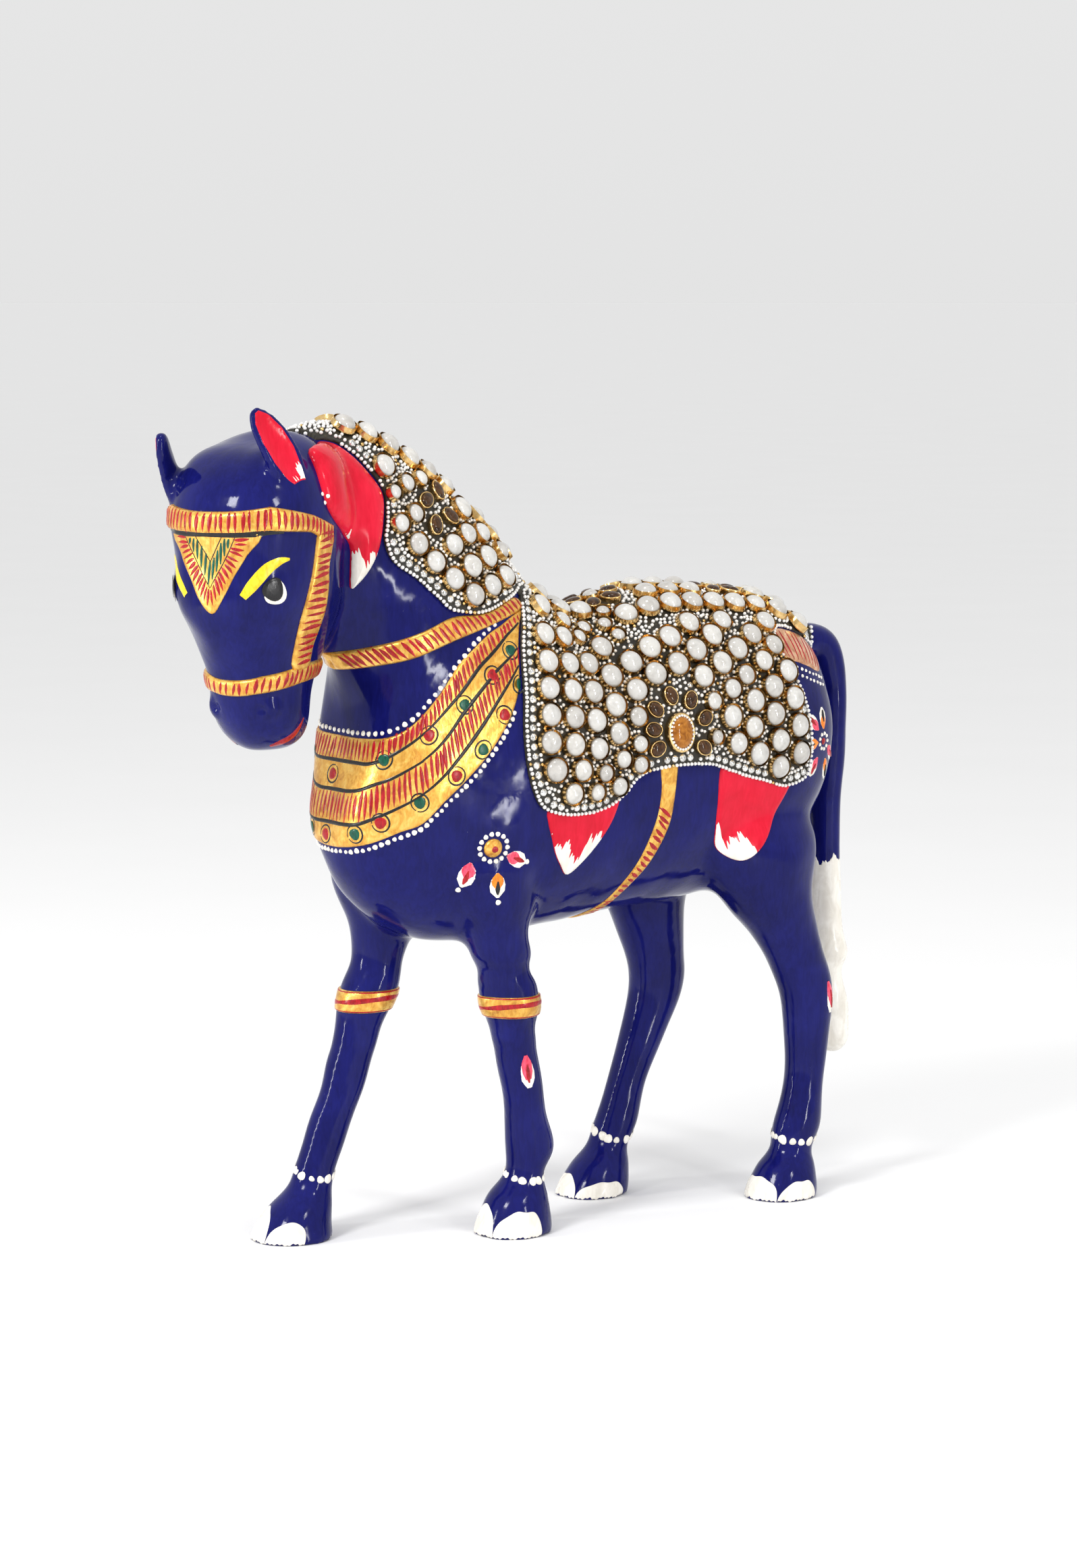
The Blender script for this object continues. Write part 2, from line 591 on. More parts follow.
CROUP_HIGH = [(56, 143.6), (60, 145.4), (70, 142.6), (73.5, 138.2)]
CROUP_LOW = [(58.4, 138.6), (63, 137), (67.5, 135.5), (72.5, 134)]
LAPPETS = {
    "lappet_front": [(-18, 106.5), (-15.5, 97), (-12.5, 92), (-9.5, 89.3), (-5, 93), (0, 99),
                     (2.5, 104), (3.2, 108.5), (-2, 107), (-10, 106.5)],
    "lappet_hind": [(34.6, 113.5), (34.2, 103), (34.8, 97), (36, 92.6), (39.4, 89.6), (43, 88.6),
                    (46.6, 90.4), (50.4, 94.4), (54.2, 100.4), (58, 109), (54, 109), (48, 111), (42, 112)]}
LOCK = [(-78.8, 193.6), (-79.4, 189), (-77, 180), (-70, 174.2), (-66, 171), (-65.4, 165),
        (-64.8, 160.6), (-62.6, 162), (-60.2, 165.4), (-58, 170), (-56.3, 176.6),
        (-55.8, 182.4), (-58.9, 187.2), (-63.4, 192), (-68.8, 194.6)]
CHEEK_FRONT = [(12.4, 174.8), (13, 168), (14.4, 161), (15.2, 155), (14.5, 149), (12.9, 143.0)]
CHEEK_BACK = [(6.2, 174.8), (6.9, 165), (7.2, 155), (7.2, 149), (7.2, 143.0)]


def band(low, high):
    return [tuple(p) for p in low] + [tuple(p) for p in reversed(high)]


def brow_top(f):
    return np.interp(f, [6, 8, 14, 25, 31], [176.2, 176.8, 178.9, 181.2, 180.0])


def brow_bottom(f):
    return np.interp(f, [6, 8, 15, 25, 31], [171.6, 172.2, 175.0, 175.6, 175.0])


def browband_shape(f, l, z):
    return np.maximum(np.maximum(z - brow_top(f), brow_bottom(f) - z), 6.2 - f)


def noseband_shape(f, l, z):
    return np.abs(z - noseband_middle(f)) - 2.15


def noseband_middle(f):
    return np.interp(f, [0, 5, 10, 20, 23.5], [142.2, 142.1, 141.6, 139.6, 137.9])


def plate_shape(f, l, z):
    return np.maximum(outline_distance([(10.6, 175.6), (8.6, 170), (5.8, 165), (3.2, 160), (0.3, 156.6),
                                        (-3.2, 160), (-5.8, 165), (-8.6, 170), (-10.6, 175.6)], l, z), 10 - f)


def cheek_shape(side):
    def shape(f, l, z):
        outline = band(CHEEK_FRONT, CHEEK_BACK)
        return np.maximum(outline_distance([tuple(p) for p in outline], f, z), -l * side)
    return shape


STRAP_RISE = rounded(0.85, 1.3)
relief("collar_gilt", side_field(COLLAR), rounded(0.45, 0.7), GOLD, ["collar"])
relief("girth_gilt", side_field(band(GIRTH_FRONT, GIRTH_REAR)), rounded(0.4, 0.8), GOLD, ["girth_strap"])
for side, sign in SIDES.items():
    relief("croup_gilt_" + side, side_field(band(CROUP_LOW, CROUP_HIGH), sign), rounded(0.4, 0.7), ROSE_GOLD,
           ["croup_band_" + side])
    relief("rein_gilt_" + side, side_field(band(REIN_LOW, REIN_HIGH), sign), STRAP_RISE, GOLD,
           ["rein_" + side])
    relief("cheek_gilt_" + side, head_field(cheek_shape(-sign)), STRAP_RISE, GOLD,
           ["cheek_strap_" + side])
relief("plate_gilt", head_field(plate_shape), rounded(0.4, 0.6), GOLD, ["forehead_plate"])
relief("browband_gilt", head_field(browband_shape), STRAP_RISE, GOLD, ["browband"])
relief("noseband_gilt", head_field(noseband_shape), rounded(0.9, 1.6), GOLD, ["noseband"])
LOCK_RISE = rounded(2.6, 5.5)
LAPPET_RISE = rounded(0.7, 1.6)
lock_fields = {side: any_side_field(LOCK, sign) for side, sign in SIDES.items()}
lappet_fields = {(name, side): side_field(LAPPETS[name], sign) for side,
                 sign in SIDES.items() for name in LAPPETS}
for side, sign in SIDES.items():
    relief("lock_red_" + side, lock_fields[side], LOCK_RISE, RED, ["lock_" + side])
    for name in LAPPETS:
        relief(f"{name}_red_{side}", lappet_fields[name, side], LAPPET_RISE, RED, [f"{name}_{side}"])
relief("blanket_ground", side_field(BLANKET), rounded(1.0, 0.8), BED, ["blanket_bed"])
relief("mane_ground", side_field(MANE), rounded(1.0, 0.8), BED, ["mane_bed"])

LEG_AXES = {"front_left": [(-18.2, -10.6, 0), (-15, -11, 14.5), (-14.8, -11, 31), (-19.8, -12.3, 56),
                           (-23, -13, 68)],
            "front_right": [(-65.7, 15.8, 0), (-60.5, 15.5, 12.5), (-50, 14.8, 39.5), (-44.8, 14.3, 56.4),
                            (-41, 14, 68)],
            "hind_left": [(61, -18, 0), (64.2, -18, 12), (69.6, -17.2, 38), (69.9, -17, 49.5),
                          (62.6, -16.5, 68)],
            "hind_right": [(23.5, 12.8, 0), (28.6, 13, 12), (38.6, 13.5, 36), (43.9, 14, 47.4),
                           (43.8, 14, 64)]}


def leg_axis(leg, z):
    table = np.array(LEG_AXES[leg])
    return np.interp(z, table[:, 2], table[:, 0]), np.interp(z, table[:, 2], table[:, 1])


def leg_polar(leg, points):
    """Distance from the leg's axis and bearing, 0 forward and 90 to the horse's left."""
    x, y = leg_axis(leg, points[:, 2])
    dx, dy = points[:, 0] - x, points[:, 1] - y
    return np.hypot(dx, dy), np.degrees(np.arctan2(-dy, -dx))


def knee_field(leg, low, high):
    def field(points, normals, head):
        away, _ = leg_polar(leg, points)
        return np.maximum(np.abs(points[:, 2] - (low + high) / 2) - (high - low) / 2, away - 11)
    return field


relief("knee_gilt_left", knee_field("front_left", 54.6, 60.0), rounded(0.5, 0.9), GOLD, ["knee_band_left"])
relief("knee_gilt_right", knee_field("front_right", 54.8, 60.2), rounded(0.5, 0.9), GOLD,
       ["knee_band_right"])


# ---------------------------------------------------------------- flat enamel patches
def fringe(along, seed, coarse=2.2, fine=1.0):
    """Uneven ends of brush strokes, by the coordinate across the strokes."""
    return (coarse * (np.sin(along * 0.83 + seed) * 0.7 + np.sin(along * 2.1 + seed * 2.3) * 0.4)
            + fine * (np.sin(along * 4.7 + seed * 4.1 + 2 * np.sin(along))
                      + np.sin(along * 7.9 + seed * 1.7)) * 0.5)


def tip_field(outline, boundary, across, seed):
    """White brushed end: inside the outline and beyond a ragged boundary (negative is inside)."""
    def field(points, normals, head):
        return np.maximum(outline(points, normals, head) + 0.12,
                          boundary(points) + fringe(across(points), seed))
    return field


def over(outline, rise, extra=0.05):
    """Height of paint that lies on a relief."""
    def height(points, value):
        return rise(points, outline(points, None, np.zeros(len(points)))) + extra
    return height


for side, sign in SIDES.items():
    field = lock_fields[side]
    relief("lock_tip_" + side, tip_field(field, lambda p: (p[:, 2] - 168.6) + 0.5 * (p[:, 0] + 62),
                                         lambda p: p[:, 0] + 0.25 * p[:, 2], 1.0 + sign),
           over(field, LOCK_RISE), WHITE, splits=2, sink=0.05)
    field = lappet_fields["lappet_front", side]
    relief("lappet_front_tip_" + side,
           tip_field(field, lambda p: (p[:, 2] - 94.6) - 0.55 * np.abs(p[:, 0] + 9.0),
                     lambda p: p[:, 0] - 0.3 * p[:, 2],
                     2.0 + sign), over(field, LAPPET_RISE), WHITE, splits=2, sink=0.05)
    field = lappet_fields["lappet_hind", side]
    relief("lappet_hind_tip_" + side,
           tip_field(field, lambda p: (p[:, 2] - 92.0) + 0.42 * (p[:, 0] - 46) - 0.3 * np.clip(39 - p[:, 0],
                                                                                               0, 5),
                     lambda p: p[:, 0] * 0.9 + 0.35 * p[:, 2], 3.0 + sign),
           over(field, LAPPET_RISE), WHITE, splits=2, sink=0.05)


def hoof_field(leg, patches, seed):
    def field(points, normals, head):
        away, bearing = leg_polar(leg, points)
        best = np.full(len(points), 9.0)
        for first, last, height in patches:
            u = (bearing - (first + last) / 2) / ((last - first) / 2)
            edge = (np.abs(u) ** 2.6 + (np.clip(points[:, 2], 0, 99) / height) ** 2.2) - 1
            best = np.minimum(best, edge * 2.0)
        chips = 0.5 * np.sin(bearing * 0.31 + seed) + 0.5 * np.sin(bearing * 0.83 + seed * 2)
        best = np.maximum(best, (0.35 + 0.3 * chips - points[:, 2]))
        return np.maximum(best + 0.12 * np.sin(bearing * 0.2 + seed), away - 12.5)
    return field


HOOVES = {"front_left": [(-40, 22, 7.6), (24, 106, 6.6)], "front_right": [(-46, 15, 8.0), (17, 76, 5.4)],
          "hind_left": [(-46, 43, 5.8), (45, 124, 5.0)], "hind_right": [(-44, 24, 5.6), (26, 118, 4.2)]}
for number, (leg, patches) in enumerate(HOOVES.items()):
    relief("hoof_white_" + leg, hoof_field(leg, patches, number * 1.7), rounded(0.09, 0.3), WHITE, splits=2,
           sink=0.05)


def tail_field(points, normals, head):
    tail = np.interp(points[:, 2], [20, 40, 55, 75, 95], [91.8, 91.5, 90, 88.8, 88.6])
    away = np.hypot(points[:, 0] - tail, points[:, 1])
    angle = np.degrees(np.arctan2(points[:, 1], points[:, 0] - tail))
    return np.maximum(points[:, 2] - 83 + fringe(angle * 0.11, 0.7, 1.4, 0.4), away - 8.2)


relief("tail_white", tail_field, rounded(0.08, 0.3), WHITE, splits=1, sink=0.05)


# Ears: the hollow face is red, its lower end brushed white
EARS = {"left": [(14.0, 13.2, 184.4), (19.6, 15.6, 190.6), (25.2, 8.4, 203.2)],
        "right": [(18.4, -14.2, 177.6), (18.4, -18.6, 185.0), (26.6, -15.6, 197.2)]}


def ear_frame(side):
    root, middle, tip = (head_point(*p) for p in EARS[side])
    along = (tip - root).normalized()
    outward = (head_point(0.45, 1.0 if side == "left" else -1.0, 0.2) - head_point(0, 0, 0)).normalized()
    wide = along.cross(outward).normalized()
    return root, middle, tip, along, wide, along.cross(wide).normalized() * -1


def ear_field(side, inset=1.35, last=0.97):
    root, middle, tip, along, wide, out = ear_frame(side)
    length = (tip - root).length
    if out.dot(head_point(0.45, 1 if side == "left" else -1, 0.2) - head_point(0, 0, 0)) < 0:
        out = out * -1
    bow = (middle - (root + tip) / 2)

    def field(points, normals, head):
        local = points - np.array(root)
        t = local @ np.array(along) / length
        centre = np.outer(4 * t * (1 - t) * 0.5, np.array(bow))
        w = (local - centre) @ np.array(wide)
        size = np.interp(t, [0, .2, .45, .7, .88, 1], [.45, .8, 1, .96, .74, .3])
        value = np.abs(w) - (4.8 * size - inset)
        value = np.maximum(value, np.maximum(-0.02 - t, t - last) * length)
        value = np.maximum(value, (0.25 - normals @ np.array(out)) * 3)
        value = np.maximum(value, np.abs((local - centre) @ np.array(out)) - 2.6)
        core = local - centre - np.outer(t * length, np.array(along))
        return np.maximum(value, np.linalg.norm(core, axis=1) - (5.0 * size + 0.5))
    return field


def ear_share(side):
    root, _, tip, along, _, _ = ear_frame(side)
    return lambda p: (p - np.array(root)) @ np.array(along)


for side in SIDES:
    field, height = ear_field(side), ear_share(side)
    wide = np.array(ear_frame(side)[4])
    relief("ear_red_" + side, field, rounded(0.08, 0.25), RED, splits=2, sink=0.05)
    relief("ear_white_" + side, tip_field(ear_field(side, 1.15), lambda p: height(p) - 4.6,
                                          lambda p: p @ wide * 1.2, 0.4),
           rounded(0.14, 0.2), WHITE, splits=2, sink=0.05)


# ---------------------------------------------------------------- places on the surface
top_tree = BVHTree.FromPolygons(*[a.tolist() for a in join(layers)])


def hit(origin, direction):
    """Outermost point met along a line, and the surface's outward direction there."""
    place, normal, _, _ = top_tree.ray_cast(Vector(origin), Vector(direction))
    if place is None:
        return None
    return place, (normal if normal.dot(Vector(direction)) < 0 else -normal)


def snap(point):
    """The top surface over a point near the skin."""
    place, normal, _, _ = skin_tree.find_nearest(Vector(point))
    found = top_tree.ray_cast(place + normal * 3.6, -normal, 6)
    return (found[0], found[1] if found[1].dot(normal) > 0 else -found[1]) if found[0] else (place, normal)


def on_side(x, z, sign):
    found = hit((x, 70 * sign, z), (0, -sign, 0))
    return found[0] if found else None


def on_head(forward, z, side=1):
    found = hit(head_point(forward, 45 * side, z), head_point(0, -side, 0) - head_point(0, 0, 0))
    return found[0] if found else None


def on_face(left, z):
    found = hit(head_point(60, left, z), head_point(-1, 0, 0) - head_point(0, 0, 0))
    return found[0] if found else None


def side_line(table, sign, steps=5):
    return [p for p in (on_side(x, z, sign) for x, z in curve_through(table, steps=steps)) if p]


def neck_line(table, sign):
    """A side-view line on the neck, found from inside it so that the head is never met."""
    result = []
    for x, z in curve_through(table, steps=5):
        place = skin_tree.ray_cast(Vector((x, 0, z)), Vector((0, sign, 0)))[0] if x > -66 else None
        if place:
            result.append(snap(place)[0])
    return result


def round_neck(table, first=-128, last=128, count=150):
    """Line round the front of the neck or chest that follows a side profile x to z."""
    xs, zs = np.array(sorted(table)).T
    result = []
    for angle in np.radians(np.linspace(first, last, count)):
        direction = Vector((-math.cos(angle), -math.sin(angle), 0))
        z, place = zs.mean(), None
        for _ in range(14):
            place = skin_tree.ray_cast(Vector((-30, 0, z)), direction)[0]
            if place is None:
                break
            z += 0.6 * (np.interp(place.x, xs, zs) - z)
        result.append(snap(place)[0] if place else None)
    return result


class Brush:
    """Gathers painted strokes and dots of one colour into one mesh that lies on the surface."""

    def __init__(self):
        self.parts = []

    def stroke(self, path, widths, lift=0.06, rows=None, across=(-1, -0.6, 0, 0.6, 1)):
        path = [Vector(p) for p in path if p is not None]
        if len(path) < 2:
            return
        line = curve_through(path, steps=6)
        steps = np.r_[0, np.cumsum(np.linalg.norm(np.diff(line, axis=0), axis=1))]
        rows = rows or max(4, int(steps[-1] / 0.7) + 2)
        at = np.linspace(0, steps[-1], rows)
        line = np.stack([np.interp(at, steps, line[:, k]) for k in range(3)], 1)
        widths = np.interp(np.linspace(0, 1, rows), np.linspace(0, 1, len(widths)), widths)
        grounds = [snap(p) for p in line]
        points = []
        for i, (place, normal) in enumerate(grounds):
            ahead = grounds[min(i + 1, rows - 1)][0] - grounds[max(i - 1, 0)][0]
            side = normal.cross(ahead)
            side = side.normalized() if side.length > 1e-6 else Vector((1, 0, 0))
            for k in across:
                spot, up = snap(place + side * (k * widths[i] / 2))
                points.append(spot + up * (lift * (1 - 0.75 * k * k) - (0.03 if abs(k) == 1 else 0)))
        n = len(across)
        faces = [(r * n + k, r * n + k + 1, (r + 1) * n + k + 1, (r + 1) * n + k)
                 for r in range(rows - 1) for k in range(n - 1)]
        self.parts.append((np.array(points), np.array(faces)))

    def dot(self, point, radius, height=0.35, sides=12, squash=1.0):
        if point is None:
            return
        place, normal = snap(point)
        x = normal.orthogonal().normalized()
        y = normal.cross(x)
        turn = rng.uniform(0, 6.28)
        points = []
        for share, rise in ((1.0, -0.08), (0.93, 0.35), (0.68, 0.78), (0.3, 0.97)):
            for k in range(sides):
                angle = 2 * math.pi * k / sides + turn
                wobble = 1 + 0.07 * math.sin(3 * angle + turn * 3)
                points.append(place + (x * math.cos(angle) * squash
                                       + y * math.sin(angle)) * radius * share * wobble
                              + normal * (height * rise))
        self.parts.append((np.array(points), np.array(ring_faces(4, sides) + cap_faces(3 * sides, sides))))

    def ring(self, point, radius, width, lift=0.07):
        place, normal = snap(point)
        x = normal.orthogonal().normalized()
        y = normal.cross(x)
        a, b = rng.uniform(0.92, 1.08), rng.uniform(0, 6.28)
        self.stroke([place + x * (math.cos(t + b) * radius * a) + y * (math.sin(t + b) * radius / a)
                     for t in np.linspace(0, 6.1, 14)],
                    [width * 0.6, width, width * 1.2, width, width * 0.5], lift)

    def finish(self, name, material):
        if self.parts:
            points, faces = join(self.parts)
            piece(name, points, faces, material)


black, red, green, white, pink, orange, yellow = (Brush() for _ in range(7))


def resample(line, count):
    pts = np.array([tuple(p) for p in line])
    steps = np.r_[0, np.cumsum(np.linalg.norm(np.diff(pts, axis=0), axis=1))]
    at = np.linspace(0, steps[-1], count)
    return [Vector([np.interp(a, steps, pts[:, k]) for k in range(3)]) for a in at], steps[-1]


def stripes(brush, low, high, pitch, lean=0.0, width=0.62, inset=(0.1, 0.1), keep=None):
    """Tapered strokes across a band between two lines, at a pitch, leaning by mm along it."""
    _, length = resample(low, 2)
    count = max(3, int(length / pitch))
    a, b = resample(low, count * 4 + 1)[0], resample(high, count * 4 + 1)[0]
    for i in range(1, count * 4, 4):
        shift = int(round(4 * lean / pitch + rng.uniform(-0.8, 0.8)))
        j = min(max(i + shift, 0), count * 4)
        start, end = a[i], b[j]
        t0, t1 = inset[0] + rng.uniform(-0.05, 0.06), 1 - inset[1] + rng.uniform(-0.12, 0.08)
        first, last = start.lerp(end, max(t0, 0)), start.lerp(end, min(t1, 1))
        if keep and not (keep(first) and keep(last)):
            continue
        bend = (end - start).cross(Vector((0, -1, 0))).normalized() * rng.uniform(-0.25, 0.25)
        w = width * rng.uniform(0.75, 1.25)
        brush.stroke([last, first.lerp(last, 0.5) + bend, first], [w * 0.35, w, w * 1.05, w * 0.8, w * 0.15],
                     STRIPE_LIFT)


def clear_of_blanket(p):
    return outline_distance(BLANKET, np.array([p.x]), np.array([p.z]))[0] > 0.2


# Collar: two striped lanes and two gilt lanes with spots, between fine black lines
U = [(-60, 124.2), (-58, 124.9), (-52, 128.6), (-45, 135.6), (-40, 141), (-35, 145.2), (-30, 148.5),
     (-25, 151), (-15, 154)]
A = [(-60, 118.6), (-54, 123.2), (-50, 126), (-45, 130.6), (-40, 135.2), (-35, 140.5), (-30, 144),
     (-25, 148), (-20, 151),
     (-15, 153)]
B = [(-62, 111.8), (-60, 113.8), (-55, 116.8), (-50, 119.8), (-45, 124.2), (-40, 130), (-35, 135),
     (-30, 139.5), (-25, 143),
     (-20, 147), (-16, 151)]
C = [(-63, 104.1), (-60, 106.1), (-55, 108.8), (-50, 111.8), (-45, 116.2), (-40, 121.5), (-35, 127),
     (-30, 133),
     (-25, 138.5), (-22, 142)]
L = [(-65, 98), (-62, 99), (-55, 102.5), (-50, 104.5), (-45, 109.6), (-40, 114), (-35, 118.8), (-30, 124.6),
     (-26, 130.4), (-23.4, 136.6)]
neck = {key: round_neck(table) for key, table in (("U", U), ("A", A), ("B", B), ("C", C), ("L", L))}
for upper, lower in (("U", "A"), ("B", "C")):
    pairs = [(a, b) for a, b in zip(neck[upper], neck[lower]) if a and b]
    stripes(red, [b for _, b in pairs], [a for a, _ in pairs], 1.55, 0.35, 0.9, (0.06, 0.03),
            clear_of_blanket)
for key, table in (("A", A), ("B", B), ("C", C)):
    line = [p for p in neck[key] if p and clear_of_blanket(p)]
    for first, last in ((0, 0.36), (0.33, 0.7), (0.68, 1)):
        part = line[int(first * len(line)):int(last * len(line))][::4]
        black.stroke(part, [0.45, 0.8, 1.0, 0.85, 0.5], LINE_LIFT)
spots = [(-58.5, 120, "g"), (-49, 125.7, "r"), (-39.3, 132.4, "g"), (-31, 139, "r"),
         (-24.8, 144.5, "g"), (-63, 102, "g"), (-59.2, 105, "r"), (-51.2, 109.7, "g"),
         (-42.3, 115.7, "r"), (-35.2, 121.6, "g"), (-28.8, 129.5, "r"), (-23.7, 136.5, "g")]
for sign in (-1, 1):
    for x, z, colour in spots:
        place = on_side(x, z, sign)
        if place and clear_of_blanket(place):
            black.ring(place, 2.2, 0.45)
            (green if colour == "g" else red).dot(place, 1.45, 0.18)
for z, colour in ((115.4, red), (101.0, red)):
    place = hit((-90, 2.0, z), (1, 0, 0))
    if place:
        black.ring(place[0], 2.2, 0.45)
        colour.dot(place[0], 1.45, 0.18)


def dotted(line, spacing, radius, height=0.4, keep=lambda p: True):
    line = [p for p in line if p]
    _, length = resample(line, 2)
    for p in resample(line, max(2, int(length / spacing)))[0]:
        if keep(p):
            white.dot(p + Vector([rng.uniform(-0.12, 0.12) for _ in range(3)]),
                      radius * rng.uniform(0.8, 1.15), height)


above_u = round_neck([(x, z + 1.1) for x, z in U])
below_l = round_neck([(x, z - 1.3) for x, z in L[:-1]] + [(-25.2, 131)])
dotted(above_u, 2.0, 0.62, keep=lambda p: clear_of_blanket(p) and p.z < 151.5)
dotted(below_l, 1.65, 0.62, keep=lambda p: clear_of_blanket(p) and p.z < 130)

# Rein, girth, croup
for sign in (-1, 1):
    low, high = neck_line(REIN_LOW, sign), neck_line(REIN_HIGH, sign)
    if len(low) > 3 and len(high) > 3:
        stripes(red, low, high, 1.6, 0.5, 0.9, (0.06, 0.06))
    low, high = side_line(GIRTH_REAR[1:], sign), side_line(GIRTH_FRONT[1:], sign)
    stripes(red, low, high, 1.65, -0.9, 0.9, (0.03, 0.03), lambda p: p.z < 106)
    black.stroke(side_line(GIRTH_REAR, sign, 2), [0.2, 0.3, 0.2], 0.05)
    low, high = side_line(CROUP_LOW, sign), side_line(CROUP_HIGH, sign)
    stripes(red, low, high, 1.5, 0.2, 0.7, (0.05, 0.05))
    for drop in (1.6, 3.4):
        dotted(side_line([(x + 0.5, z - drop) for x, z in CROUP_LOW], sign), 1.5, 0.45, 0.3)

# Bridle
for side in (1, -1):
    front_edge = [p for p in (on_head(f, z, side) for f, z in curve_through(CHEEK_FRONT)) if p]
    back_edge = [p for p in (on_head(f, z, side) for f, z in curve_through(CHEEK_BACK)) if p]
    stripes(red, front_edge, back_edge, 1.75, -0.9, 0.9, (0.08, 0.08))


def round_head(height_at, first, last, count):
    """Line round the head at a height that depends on how far forward it is."""
    result = []
    for angle in np.radians(np.linspace(first, last, count)):
        f, z, place = 10.0, 150.0, None
        for _ in range(7):
            z = height_at(f)
            centre = head_point(8, 0, z)
            direction = head_point(8 + math.cos(angle), math.sin(angle), z) - centre
            place = skin_tree.ray_cast(centre, direction, 30)[0]
            if place is None:
                break
            f = to_head(np.array([place]))[0][0]
        result.append(snap(place)[0] if place else None)
    return [p for p in result if p]


brow_low = round_head(brow_bottom, -98, 98, 90)
brow_high = round_head(brow_top, -98, 98, 90)
stripes(red, brow_low, brow_high, 1.6, 0.3, 0.95, (0.06, 0.04))
nose_low = round_head(lambda f: noseband_middle(f) - 2.1, -170, 170, 110)
nose_high = round_head(lambda f: noseband_middle(f) + 2.1, -170, 170, 110)
stripes(red, nose_low, nose_high, 1.65, 0.5, 0.9, (0.06, 0.06))
under_brow = round_head(lambda f: np.interp(f, [6, 8, 15, 25, 31], [171.4, 172.0, 174.9, 175.4, 174.8]), -52,
                        50, 24)
black.stroke(under_brow[::2], [0.5, 0.9, 1.4, 0.9, 1.2, 1.5, 0.6], 0.1)

outer = [on_face(l, z) for l, z in ((10.2, 174.4), (8.2, 170), (5.4, 165), (2.9, 160.4), (0.2, 157.2))]
inner = [on_face(l, z) for l, z in ((6.6, 174.4), (5.0, 171.3), (3.2, 168), (1.6, 165.2), (0.2, 162.6))]
outer_r = [on_face(l, z) for l, z in ((-10.2, 174.4), (-8.2, 170), (-5.4, 165), (-2.9, 160.4), (0.2, 157.2))]
inner_r = [on_face(l, z) for l, z in ((-6.6, 174.4), (-5.0, 171.3), (-3.2, 168), (-1.6, 165.2), (0.2, 162.6))]
small = [on_face(l, z) for l, z in ((3.4, 174.4), (1.6, 171.4), (0.1, 168.6))]
small_r = [on_face(l, z) for l, z in ((-3.4, 174.4), (-1.6, 171.4), (0.1, 168.6))]
for a, b in ((outer, inner), (outer_r, inner_r)):
    stripes(red, [p for p in a if p], [p for p in b if p], 1.45, 0.6, 0.8, (0.08, 0.05))
for left in np.arange(-6.2, 6.4, 1.0):
    top = 174.2 if abs(left) > 3.2 else 168.6 + 1.65 * abs(left)
    low = 162.8 + 1.85 * abs(left)
    if top - low > 0.8:
        green.stroke([on_face(left + 0.3, top - rng.uniform(0, 0.4)), on_face(left, (top + low) / 2),
                      on_face(left - 0.1, low + rng.uniform(0, 0.5))], [0.4, 0.85, 0.75, 0.3], 0.07)
for line in (inner, inner_r, small, small_r):
    black.stroke(line, [0.2, 0.3, 0.25, 0.3, 0.2], 0.07)

# Eyes, eyebrows, mouth
for side in (1, -1):
    eye = on_head(24.6, 162.3, side)
    socket = on_head(24.0, 161.5, side)
    for brush, spot, radius, lift in ((white, socket, 2.85, 0.16), (black, eye, 2.7, 0.34)):
        brush.dot(spot, radius, lift, 24)
    brow = [on_head(f, z, side) for f, z in ((20.9, 169.1), (23.2, 168.7), (25.6, 167.0), (27.6, 164.0),
                                             (28.9, 160.6))]
    yellow.stroke(brow, [0.6, 2.0, 2.7, 2.9, 2.7, 1.8], 0.13)
    mouth = [on_head(f, z, side) for f, z in ((7.4, 131.2), (8.4, 129.0), (9.6, 126.6), (11.6, 124.6))]
    red.stroke(mouth, [0.4, 1.6, 2.6, 2.8, 1.2], 0.1, across=(-1, -0.7, -0.3, 0, 0.3, 0.7, 1))
for f, z in ((9, 181.5), (8.8, 183), (9.5, 183.5)):
    white.dot(on_head(f, z, 1), 0.5, 0.3)


def petal(x, z, bearing, length, wide, sign, base, tip, dark):
    """Drop-shaped petal pointing along bearing (degrees in the side view), tip brushed, dark heart."""
    angle = math.radians(bearing)
    dx, dz = math.cos(angle), math.sin(angle)
    def at(t):
        return on_side(x + dx * t, z + dz * t, sign)
    fat = (-1, -0.8, -0.5, -0.2, 0.2, 0.5, 0.8, 1)
    tip.stroke([at(-length * 0.5), at(0), at(length * 0.56)], [0.6, wide * 0.8, wide, wide * 0.9, 0.7], 0.10,
               rows=9, across=fat)
    base.stroke([at(-length * 0.5), at(-length * 0.1), at(length * 0.22)],
                [0.5, wide * 0.75, wide * 0.85, 0.9], 0.17,
                rows=8, across=fat)
    dark.stroke([at(-length * 0.15), at(length * 0.15), at(length * 0.42)], [0.4, 1.2, 1.4, 0.5], HEART_LIFT)


